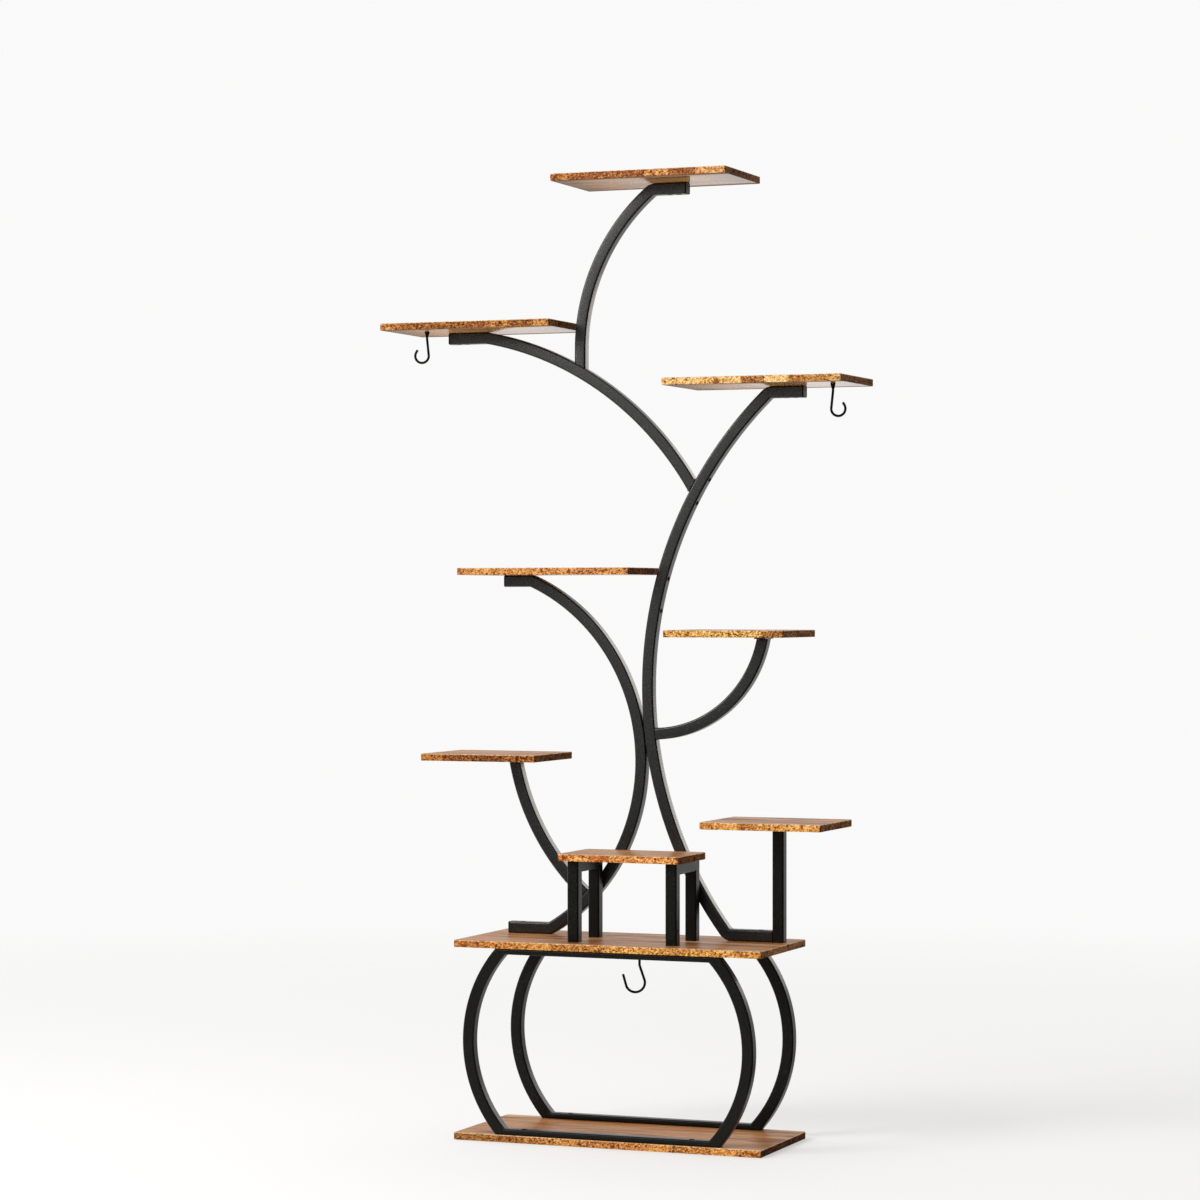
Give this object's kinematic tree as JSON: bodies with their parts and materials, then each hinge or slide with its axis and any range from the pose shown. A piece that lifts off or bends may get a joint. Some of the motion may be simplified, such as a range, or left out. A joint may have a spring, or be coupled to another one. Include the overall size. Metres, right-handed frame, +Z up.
{
  "type": "plant stand",
  "caption": "Tall tree-shaped plant stand of bent black square tube with staggered brown board shelves, lantern-shaped base frames, a riser and swivelling wire hooks.",
  "frame": {"origin": "middle of the bottom board's underside, on the floor", "axes": "+Z up, +X along the boards to the right as seen from the front, +Y from the front to the back"},
  "size_m": [0.833, 0.23, 1.631],
  "materials": {
    "board": "rustic wood-grain laminate on particle board",
    "tube": "fine black powder coat",
    "plug": "moulded black plastic",
    "insert": "moulded black plastic",
    "fastener": "black coated steel",
    "hook_wire": "black coated wire",
    "hook_socket": "black coated steel"
  },
  "bodies": {
    "stand": {"bottom_board": "board", "bottom_board_screws": "fastener", "foot_screws": "fastener", "front_lantern_frame": "tube", "left_foot_plug": "plug", "left_hook_socket": "hook_socket", "left_trunk": "tube", "lower_hook_socket": "hook_socket", "lower_left_branch": "tube", "lower_left_plate": "tube", "lower_left_shelf": "board", "lower_left_shelf_screws": "fastener", "lower_right_plate": "tube", "lower_right_shelf": "board", "lower_right_shelf_screws": "fastener", "middle_board": "board", "middle_board_screws": "fastener", "middle_left_arm_plug": "plug", "middle_left_shelf": "board", "middle_left_shelf_screws": "fastener", "middle_right_branch": "tube", "middle_right_plate": "tube", "middle_right_shelf": "board", "middle_right_shelf_screws": "fastener", "post_insert": "insert", "post_screw": "fastener", "rear_lantern_frame": "tube", "right_hook_socket": "hook_socket", "right_post": "tube", "right_trunk_lower": "tube", "right_trunk_upper": "tube", "riser_left_legs": "tube", "riser_leg_inserts": "insert", "riser_leg_screws": "fastener", "riser_right_legs": "tube", "riser_shelf": "board", "riser_shelf_screws": "fastener", "saddle_bolts": "fastener", "saddle_nuts": "fastener", "sleeve_screws": "fastener", "top_arm_plug": "plug", "top_branch": "tube", "top_shelf": "board", "top_shelf_screws": "fastener", "trunk_bolt": "fastener", "trunk_sleeve": "tube", "upper_left_arm_plug": "plug", "upper_left_branch": "tube", "upper_left_saddle": "tube", "upper_left_shelf": "board", "upper_left_shelf_screws": "fastener", "upper_right_arm_plug": "plug", "upper_right_shelf": "board", "upper_right_shelf_screws": "fastener"},
    "left_hook": {"left_hook": "hook_wire"},
    "right_hook": {"right_hook": "hook_wire"},
    "lower_hook": {"lower_hook": "hook_wire"}
  },
  "joints": [
    {"name": "left_hook_swivel", "type": "hinge", "parent": "stand", "child": "left_hook", "pos_m": [-0.373, -0.008, 1.375], "axis": [0, 0, 1], "continuous": true},
    {"name": "right_hook_swivel", "type": "hinge", "parent": "stand", "child": "right_hook", "pos_m": [0.358, 0.009, 1.27], "axis": [0, 0, 1], "continuous": true},
    {"name": "lower_hook_swivel", "type": "hinge", "parent": "stand", "child": "lower_hook", "pos_m": [0.041, -0.06, 0.325], "axis": [0, 0, 1], "continuous": true}
  ]
}
